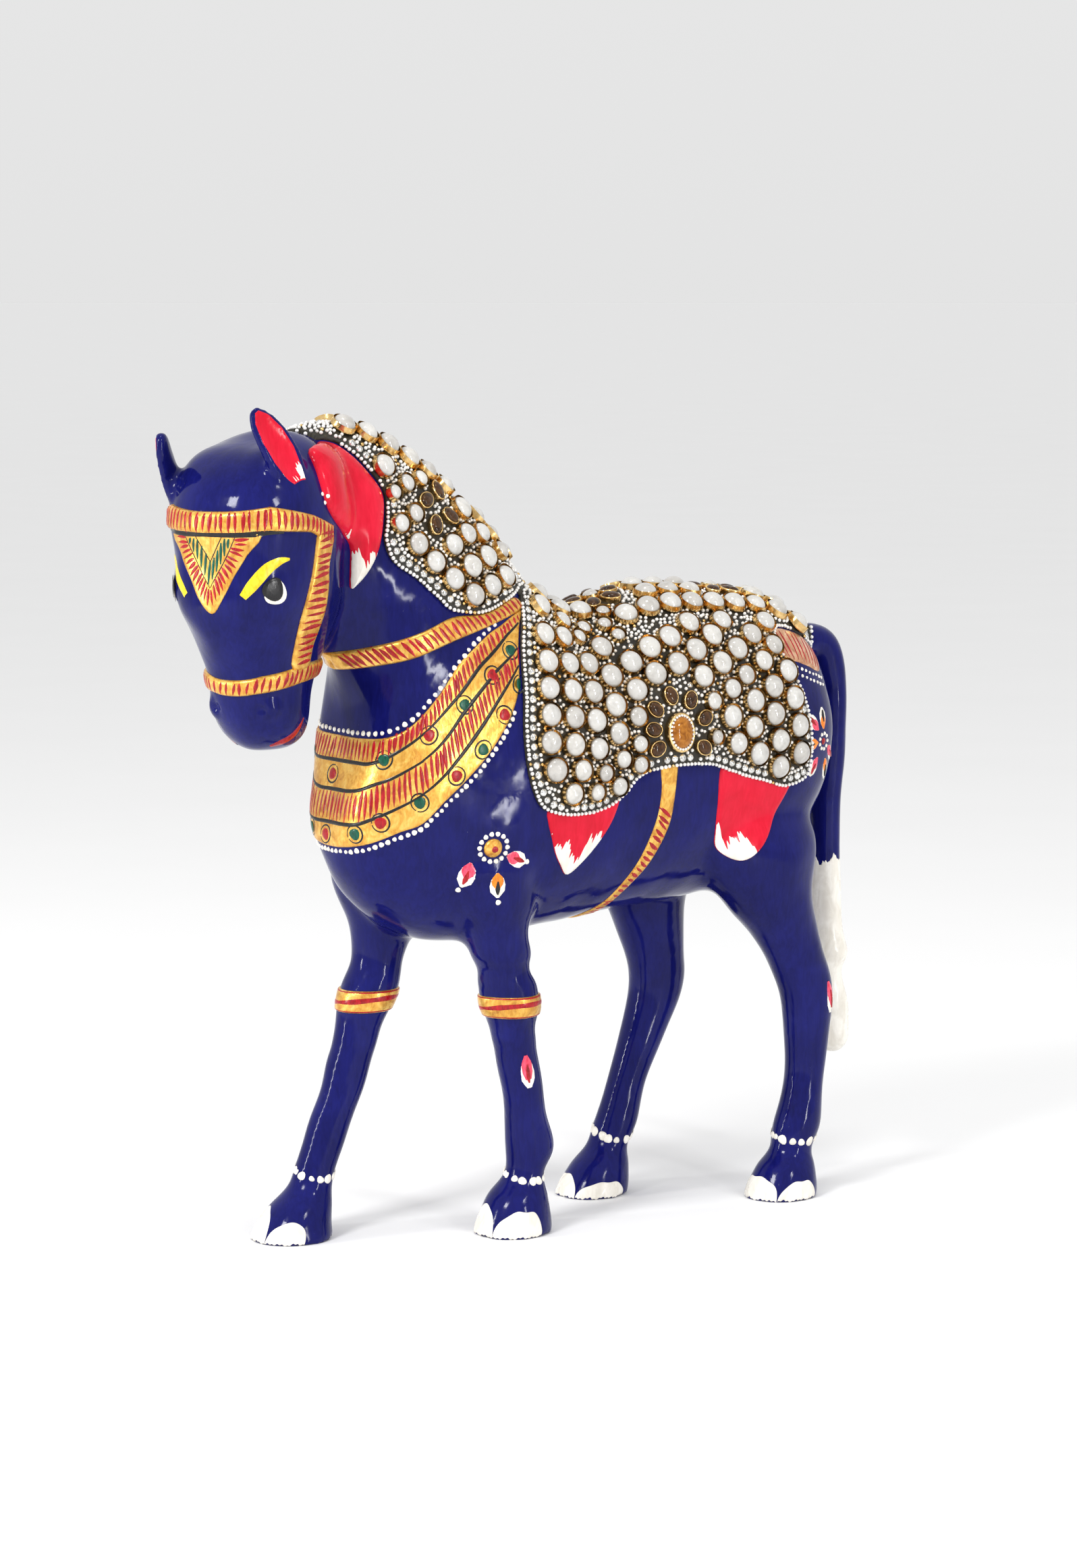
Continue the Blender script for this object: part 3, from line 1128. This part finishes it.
for sign in (-1, 1):
    for i in range(14):
        angle = 2 * math.pi * i / 14
        white.dot(on_side(-32.2 + 3.4 * math.cos(angle), 97.8 + 3.4 * math.sin(angle), sign), 0.62, 0.4)
    petal(-26.0, 94.7, -20, 5.6, 4.2, sign, pink, white, red)
    petal(-38.2, 91.6, -105, 5.8, 4.4, sign, pink, white, red)
    petal(-31.1, 88.8, -85, 5.8, 4.2, sign, orange, white, black)
    for x, z in ((-22.7, 93.7), (-39.4, 87.7), (-30.6, 84.4)):
        white.dot(on_side(x, z, sign), 0.68, 0.4)
    for i in range(9):
        angle = 2 * math.pi * i / 9
        white.dot(on_side(70.6 + 2.0 * math.cos(angle), 116.6 + 2.0 * math.sin(angle), sign), 0.5, 0.35)
    red.dot(on_side(70.6, 116.6, sign), 0.9, 0.3)
    for x, z, bearing, base in ((70.3, 122.4, 95, orange), (66.2, 121.6, 135, pink),
                                (65.2, 116.3, 185, orange),
                                (66.4, 110.6, 235, pink), (72.6, 109.6, 280, orange),
                                (75.0, 113.4, 320, pink)):
        petal(x, z, bearing, 5.2, 3.3, sign, base, white, red if base is pink else black)

# Legs: one petal on the cannon or hock, a ring of dots above each hoof, lines on the knee bands
for leg, z, bearing in (("front_left", 41, 80), ("hind_left", 51, 128), ("front_right", 40, -75),
                        ("hind_right", 52, -128)):
    def on_leg(leg, z, bearing):
        x, y = leg_axis(leg, z)
        out = Vector((-math.cos(math.radians(bearing)), -math.sin(math.radians(bearing)), 0))
        found = hit(Vector((x, y, z)) + out * 14, -out)
        return found[0] if found else None
    fat = (-1, -0.8, -0.5, -0.2, 0.2, 0.5, 0.8, 1)
    white.stroke([on_leg(leg, z + d, bearing) for d in (3.4, 0, -4.3)], [0.9, 3.2, 4.0, 3.8, 1.3], 0.10, 9,
                 fat)
    pink.stroke([on_leg(leg, z + d, bearing) for d in (4.0, 1.0, -2.2)], [0.8, 2.9, 3.4, 1.9], 0.17, 8, fat)
    red.stroke([on_leg(leg, z + d, bearing) for d in (1.6, -0.8, -3.0)], [0.4, 1.3, 1.4, 0.4], HEART_LIFT)
for leg, z, tilt in (("front_left", 14.2, 1.0), ("front_right", 16.0, 1.4), ("hind_left", 15.2, 1.0),
                     ("hind_right", 15.4, 1.6)):
    for bearing in np.arange(0, 360, 26.5):
        spot = on_leg(leg, z - tilt * math.sin(math.radians(bearing - 10)), bearing + rng.uniform(-5, 5))
        white.dot(spot, rng.uniform(0.75, 1.2), 0.38, squash=rng.uniform(0.8, 1.2))
for leg, low, high in (("front_left", 54.6, 60.0), ("front_right", 54.8, 60.2)):
    ring = [on_leg(leg, (low + high) / 2 + 0.8 * math.sin(math.radians(b - 20)), b) for b in range(0, 361,
                                                                                                   20)]
    for part in (ring[:8], ring[6:14], ring[12:]):
        red.stroke(part, [0.8, 1.5, 1.2, 1.5, 0.8], 0.08)
    for z in (low + 0.35, high - 0.35):
        ring = [on_leg(leg, z, b) for b in range(0, 361, 20)]
        red.stroke(ring, [0.35, 0.5, 0.3, 0.5, 0.35], 0.05)

for name, brush, colour in (("strokes_black", black, INK), ("strokes_red", red, RED_INK),
                            ("strokes_green", green, GREEN_INK), ("strokes_white", white, WHITE),
                            ("strokes_pink", pink, PINK), ("strokes_orange", orange, ORANGE),
                            ("strokes_yellow", yellow, YELLOW)):
    brush.finish(name, colour)


# ---------------------------------------------------------------- set pearls, cups and stones
def loose_parts(name):
    """The separate solids of a CAD node, as point and triangle arrays."""
    points, tris = node_mesh(name)
    _, weld = np.unique(np.round(points, 3), axis=0, return_inverse=True)
    weld = weld.ravel()
    tris_w = weld[tris]
    label = np.arange(weld.max() + 1)
    while True:
        low = label[tris_w].min(axis=1)
        fresh = label.copy()
        for k in range(3):
            np.minimum.at(fresh, tris_w[:, k], low)
        fresh = fresh[fresh]
        if (fresh == label).all():
            break
        label = fresh
    owner = label[tris_w[:, 0]]
    for value in np.unique(owner):
        chosen = tris[owner == value]
        yield points[np.unique(chosen)], points[chosen]


def flat_base(corners):
    """Outward axis of the flat underside of a stone or cup."""
    cross = np.cross(corners[:, 1] - corners[:, 0], corners[:, 2] - corners[:, 0])
    area = np.linalg.norm(cross, axis=1)
    unit = cross / np.maximum(area, 1e-12)[:, None]
    biggest, best = 0, None
    for i in np.argsort(area)[-12:]:
        same = unit @ unit[i] > 0.9995
        if area[same].sum() > biggest:
            biggest, best = area[same].sum(), unit[i]
    return best


def seats(name):
    """Each stone of a node: middle of its base, outward axis, long axis, half sizes, height."""
    for points, corners in loose_parts(name):
        down = flat_base(corners)
        middle = points.mean(axis=0)
        heights = -(points @ down)
        if (heights > heights.mean()).sum() < 3:
            continue
        up = -down
        level = points @ up
        low = points[level < level.min() + 0.02]
        x = np.array(Vector(up).orthogonal().normalized())
        y = np.cross(up, x)
        u, v = (points - middle) @ x, (points - middle) @ y
        angle = 0.5 * math.atan2(2 * (u * v).mean(), (u * u).mean() - (v * v).mean())
        long_axis = x * math.cos(angle) + y * math.sin(angle)
        short_axis = np.cross(up, long_axis)
        reach = [np.ptp(points @ axis) / 2 for axis in (long_axis, short_axis)]
        centre = low.mean(axis=0)
        centre = centre + long_axis * (((points @ long_axis).max() + (points @ long_axis).min()) / 2
                                       - centre @ long_axis)
        centre = centre + short_axis * (((points @ short_axis).max() + (points @ short_axis).min()) / 2
                                        - centre @ short_axis)
        yield centre, up, long_axis, reach, np.ptp(level)


def turned(profile, sides, seat, rough=0.0, cap=True):
    """A round or oval form from (share of the half size, height) rows on a seat."""
    centre, up, long_axis, reach, _ = seat
    short_axis = np.cross(up, long_axis)
    a, b = reach
    wave, lobe = rng.uniform(0, 6.28), rng.choice((2, 3, 4))
    rows = []
    for share, height in profile:
        angle = 2 * math.pi * np.arange(sides) / sides
        swell_by = 1 + rough * np.sin(lobe * angle + wave)
        rows.append(centre + np.outer(np.cos(angle) * (a + share[1]) * swell_by, long_axis) * share[0]
                    + np.outer(np.sin(angle) * (b + share[1]) * swell_by, short_axis) * share[0]
                    + np.outer(height * (1 + rough * np.cos(2 * angle + wave)), up))
    points = np.concatenate(rows)
    faces = ring_faces(len(profile), sides)
    if cap:
        faces += cap_faces((len(profile) - 1) * sides, sides)
    return points, np.array(faces)


def tilted(seat, degrees):
    """The seat leaning a little, as hand-set stones do."""
    centre, up, long_axis, reach, tall = seat
    lean = Vector((rng.gauss(0, 1), rng.gauss(0, 1), rng.gauss(0, 1))) * math.radians(degrees)
    turn = Matrix.Rotation(lean.length, 3, lean.normalized())
    return centre, np.array(turn @ Vector(up)), np.array(turn @ Vector(long_axis)), reach, tall


def gather(name, forms, material, replaces, flat=False):
    tones = np.concatenate([np.full(len(p), rng.random()) for p, _ in forms])
    points, faces = join(forms)
    piece(name, points, faces, material, replaces, tones, flat)


for node in ("blanket_pearls_left", "blanket_pearls_right", "mane_pearls_left", "mane_pearls_right",
             "back_pearls"):
    forms = []
    for seat in seats(node):
        seat = tilted(seat, 1.6)
        r = sum(seat[3]) / 2
        rise = r * rng.uniform(0.80, 0.88)
        dome = [((1.0, 0.0), 0.0), ((1.0, 0.0), 0.25)]
        dome += [((math.cos(t), 0.0), 0.25 + rise * math.sin(t)) for t in np.linspace(0.12, 1.5, 9)]
        forms.append(turned(dome, 28, seat, 0.008))
    gather(node + "_set", forms, PEARL, [node])
cup_seats = []
for node in ("blanket_cups_left", "blanket_cups_right", "mane_cups_left", "mane_cups_right", "back_cups"):
    forms = []
    for seat in seats(node):
        centre, up, long_axis, reach, tall = seat
        cup_seats.append((centre, max(reach), up))
        tall = 1.25 * rng.uniform(0.92, 1.12)
        lip = [((1.0, -0.12), -0.5), ((1.0, -0.02), tall * 0.35), ((1.0, 0.04), tall * 0.75),
               ((1.0, 0.0), tall * 0.97),
               ((1.0, -0.13), tall * 1.05), ((1.0, -0.28), tall * 1.0), ((1.0, -0.36), tall * 0.7),
               ((1.0, -0.40), 0.3)]
        forms.append(turned(lip, 28, seat, 0.014, cap=False))
    gather(node + "_rims", forms, BRASS, [node])
CROWN = [((1.0, 0), 0.0), ((1.0, 0), 0.42), ((0.97, 0), 0.62), ((0.88, 0), 0.82), ((0.72, 0), 0.96),
         ((0.45, 0), 1.05), ((0.2, 0), 1.08)]
for node in ("blanket_stones_left", "blanket_stones_right", "mane_stones_left", "mane_stones_right",
             "back_stones"):
    forms = [turned([(s, h * seat[4]) for s, h in CROWN], 26, tilted(seat, 2.0),
                    0.01) for seat in seats(node)]
    gather(node + "_set", forms, SMOKE, [node])
for side in SIDES:
    seat = next(seats("medallion_stone_" + side))
    gather("medallion_amber_" + side, [turned([(s, h * seat[4]) for s, h in CROWN], 32, seat, 0.0)], AMBER,
           ["medallion_stone_" + side])
    seat = next(seats("medallion_frame_" + side))
    cup_seats.append((seat[0], max(seat[3]), seat[1]))
    lip = [((1.0, -0.1), -0.5), ((1.0, 0.0), 0.6), ((1.0, 0.0), 1.3), ((1.0, -0.1), 1.6), ((1.0, -0.3), 1.75),
           ((1.0, -0.55), 1.7), ((1.0, -0.8), 1.5), ((1.0, -0.9), 0.8)]
    gather("medallion_brass_" + side, [turned(lip, 40, seat, 0.006, cap=False)], BRASS,
           ["medallion_frame_" + side])
    seat = next(seats("shoulder_dome_" + side))
    r = sum(seat[3]) / 2
    dome = [((1.0, 0), -0.4)] + [((math.cos(t), 0), 0.2 + r * 0.55 * math.sin(t)) for t in np.linspace(0,
                                                                                                       1.5,
                                                                                                       8)]
    gather("shoulder_gilt_" + side, [turned(dome, 24, seat, 0.01)], GOLD, ["shoulder_dome_" + side])
    top = 0.2 + r * 0.55
    spot = [((0.34, 0), top - 0.3), ((0.33, 0), top + 0.04), ((0.24, 0), top + 0.14), ((0.1, 0), top + 0.18)]
    gather("shoulder_spot_" + side, [turned(spot, 18, seat, 0.03)], RED_INK, ())

# ---------------------------------------------------------------- seed beads and rhinestones
SPHERE = [(math.cos(t), math.sin(t)) for t in (-0.5 + 2.0 * ring / 4 for ring in range(5))]


def bead(place, normal, radius, sides=8):
    x = normal.orthogonal().normalized()
    y = normal.cross(x)
    points = []
    for share, rise in SPHERE:
        for k in range(sides):
            angle = 2 * math.pi * k / sides
            points.append(place + (x * math.cos(angle) + y * math.sin(angle)) * radius * share
                          + normal * radius * (0.55 + rise))
    return np.array(points), np.array(ring_faces(5, sides) + cap_faces(4 * sides, sides))


def brilliant(place, normal, radius):
    """Small cut stone: eight facets round a flat table."""
    x = normal.orthogonal().normalized()
    y = normal.cross(x)
    turn = rng.uniform(0, 0.8)
    points = []
    for share, rise in ((1.0, -0.1), (1.0, 0.35), (0.55, 0.75)):
        for k in range(8):
            angle = math.pi * k / 4 + turn + (math.pi / 8 if share < 1 else 0)
            points.append(place + (x * math.cos(angle) + y * math.sin(angle)) * radius * share
                          + normal * radius * rise)
    return np.array(points), np.array(ring_faces(3, 8) + cap_faces(16, 8))


class Crowd:
    """Remembers round things on the surface so that none is set on another."""

    def __init__(self, cell=1.6):
        self.cell, self.cells = cell, {}

    def key(self, p):
        return tuple(int(math.floor(c / self.cell)) for c in p)

    def free(self, p, radius):
        i, j, k = self.key(p)
        span = range(-3, 4)
        return all((Vector(p) - q).length >= radius + r
                   for a in span for b in span for c in span for q,
                   r in self.cells.get((i + a, j + b, k + c), ()))

    def add(self, p, radius):
        self.cells.setdefault(self.key(p), []).append((Vector(p), radius))


crowd = Crowd()
for centre, reach, up in cup_seats:
    crowd.add(centre, reach)
silver, gold, crystals = [], [], []


def border(outline, inset, spacing, radius, make, keep):
    """A row of beads or stones just inside the visible edge of a bed."""
    line = curve_through(outline, closed=True, steps=6)
    centre = np.roll(line, -1, 0) - np.roll(line, 1, 0)
    area = 0.5 * np.sum(line[:, 0] * np.roll(line[:, 1], -1) - np.roll(line[:, 0], -1) * line[:, 1])
    inward = np.stack([-centre[:, 1], centre[:, 0]], 1) * (1 if area > 0 else -1)
    line = line + inward / np.linalg.norm(inward, axis=1, keepdims=True) * inset
    for sign in (-1, 1):
        places = [on_side(x, z, sign) if keep(x, z) else None for x, z in line]
        last = None
        for a, b in zip(places, places[1:] + places[:1]):
            if a is None or b is None or (a - b).length > 8:
                last = None
                continue
            for t in np.linspace(0, 1, 9):
                p = a.lerp(b, t)
                if last is not None and (p - last).length < spacing:
                    continue
                last = p.copy()
                place, normal = snap(p)
                if crowd.free(place, radius * 0.92):
                    crowd.add(place, radius)
                    make(place, normal, radius * rng.uniform(0.9, 1.06))


def add_bead(place, normal, radius):
    (gold if rng.random() < 0.04 else silver).append(bead(place, normal, radius))


def add_crystal(place, normal, radius):
    crystals.append(brilliant(place, normal, radius))


def blanket_edge(x, z):
    return z < 155.5 or x > 60


def mane_edge(x, z):
    return -77 < x < -16 and z < 194.5


for outline, keep in ((BLANKET, blanket_edge), (MANE, mane_edge)):
    border(outline, OUTER_BEADS, 1.06, BEAD_RADIUS, add_bead, keep)
    border(outline, CRYSTAL_ROW, 2.2, CRYSTAL_RADIUS, add_crystal, keep)
    border(outline, INNER_BEADS, 1.1, BEAD_RADIUS, add_bead, keep)


def fill_ground(outline, tries):
    """Seed beads scattered over the bed between the cups, and a few rhinestones."""
    points, tris, normals, value = cut_skin(side_field(outline), 0)
    a, b, c = (points[tris[:, i]] for i in range(3))
    area = np.linalg.norm(np.cross(b - a, c - a), axis=1)
    pick = np.random.default_rng(5).choice(len(tris), tries, p=area / area.sum())
    deep = value[tris].mean(axis=1)
    for i in pick:
        if deep[i] > -0.7:
            continue
        u, v = rng.random(), rng.random()
        if u + v > 1:
            u, v = 1 - u, 1 - v
        p = Vector(a[i] + (b[i] - a[i]) * u + (c[i] - a[i]) * v)
        place, normal = snap(p)
        if crowd.free(place, 0.9) and rng.random() < 0.10:
            crowd.add(place, 0.85)
            add_crystal(place, normal, 0.85)
        elif crowd.free(place, 0.46):
            crowd.add(place, 0.48)
            add_bead(place, normal, rng.uniform(0.43, 0.5))


fill_ground(BLANKET, 26000)
fill_ground(MANE, 12000)
for side in SIDES:
    centre, up, long_axis, reach, _ = next(seats("medallion_frame_" + side))
    short_axis = np.cross(up, long_axis)
    for i in range(26):
        angle = 2 * math.pi * i / 26
        spot = (centre + long_axis * math.cos(angle) * (reach[0] - 0.75)
                + short_axis * math.sin(angle) * (reach[1] - 0.75)
                + up * 1.5)
        silver.append(bead(Vector(spot), Vector(up), 0.36))
for name, forms, material, flat in (("seed_beads_silver", silver, BEADS, False),
                                    ("seed_beads_gold", gold, GOLD_BEADS, False),
                                    ("rhinestones", crystals, CRYSTAL, True)):
    tones = np.concatenate([np.full(len(p), rng.random()) for p, _ in forms])
    points, faces = join(forms)
    piece(name, points, faces, material, tone=tones, flat=flat)
print("beads", len(silver), len(gold), "crystals", len(crystals))

# ---------------------------------------------------------------- studio
def stage_material():
    s = Shader("studio_floor", IOR=1.4, Roughness=0.7)
    s.set("Base Color", s.ramp(s.noise(90, 3), [(0.3, (0.895, 0.895, 0.895)), (0.7, (0.905, 0.905, 0.905))]))
    s.bumps((s.noise(3, 3), 0.02))
    return s.material


rings = [0, 0.4, 1.2, 4, 14, 45]
points = [(0, 0, 0)] + [(r * math.cos(a), r * math.sin(a), 0) for r in rings[1:]
                        for a in np.linspace(0, 2 * math.pi, 48, endpoint=False)]
faces = [(0, 1 + k, 1 + (k + 1) % 48) for k in range(48)]
faces += [(1 + i * 48 + k, 1 + (i + 1) * 48 + k, 1 + (i + 1) * 48 + (k + 1) % 48, 1 + i * 48 + (k + 1) % 48)
          for i in range(len(rings) - 2) for k in range(48)]
mesh = bpy.data.meshes.new("studio_floor")
mesh.from_pydata(points, [], faces)
mesh.materials.append(stage_material())
floor = bpy.data.objects.new("studio_floor", mesh)
bpy.context.scene.collection.objects.link(floor)
floor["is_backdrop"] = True

world = bpy.data.worlds.new("studio")
bpy.context.scene.world = world
world.use_nodes = True
sky = world.node_tree.nodes
height = sky.new("ShaderNodeSeparateXYZ")
shade = sky.new("ShaderNodeValToRGB")
world.node_tree.links.new(sky.new("ShaderNodeTexCoord").outputs["Generated"], height.inputs[0])
world.node_tree.links.new(height.outputs["Z"], shade.inputs["Fac"])
world.node_tree.links.new(shade.outputs["Color"], sky["Background"].inputs["Color"])
for element, level in zip(shade.color_ramp.elements, (0.90, 1.0)):
    element.color = (level, level, level, 1)
shade.color_ramp.elements[1].position = 0.35
sky["Background"].inputs["Strength"].default_value = 0.86


def softbox(name, bearing, elevation, distance, width, height, power, aim=(-0.01, 0, 0.1)):
    light = bpy.data.objects.new(name, bpy.data.lights.new(name, "AREA"))
    bpy.context.scene.collection.objects.link(light)
    light.data.shape, light.data.energy = "RECTANGLE", power
    light.data.size, light.data.size_y = width, height
    a, e = math.radians(bearing), math.radians(elevation)
    out = Vector((math.sin(a) * math.cos(e), -math.cos(a) * math.cos(e), math.sin(e)))
    light.location = Vector(aim) + out * distance
    light.rotation_euler = (-out).to_track_quat("-Z", "Y").to_euler()


softbox("key", -72, 36, 0.9, 0.20, 0.15, 4.2)
softbox("strip_left", -104, 10, 0.9, 0.05, 0.34, 2.4)
softbox("strip_right", 10, 6, 0.9, 0.045, 0.30, 1.9)
softbox("fill", 6, 30, 1.0, 0.10, 0.10, 1.2)
softbox("top", -30, 78, 1.0, 0.20, 0.16, 1.3)

# Camera: the horse seen from its left front, from 7 degrees above the level
AZIMUTH, ELEVATION = math.radians(-36), math.radians(7)
TARGET, DISTANCE, LENS = Vector((-2.9, -8.8, 110.1)), 1000, 93.9
camera = bpy.data.objects.new("camera", bpy.data.cameras.new("camera"))
bpy.context.scene.collection.objects.link(camera)
back = Vector((math.sin(AZIMUTH) * math.cos(ELEVATION), -math.cos(AZIMUTH) * math.cos(ELEVATION),
               math.sin(ELEVATION)))
camera.location = (TARGET + back * DISTANCE) * MM
camera.rotation_euler = (-back).to_track_quat("-Z", "Y").to_euler()
camera.data.lens, camera.data.sensor_width = LENS, 36
camera.data.clip_start, camera.data.clip_end = 0.05, 200
bpy.context.scene.camera = camera
bpy.context.scene.view_settings.view_transform = "Standard"


def corners(box):
    return [[float(c) for c in corner] for corner in box]


{"cad": corners(cad_box), "visual": corners(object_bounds())}
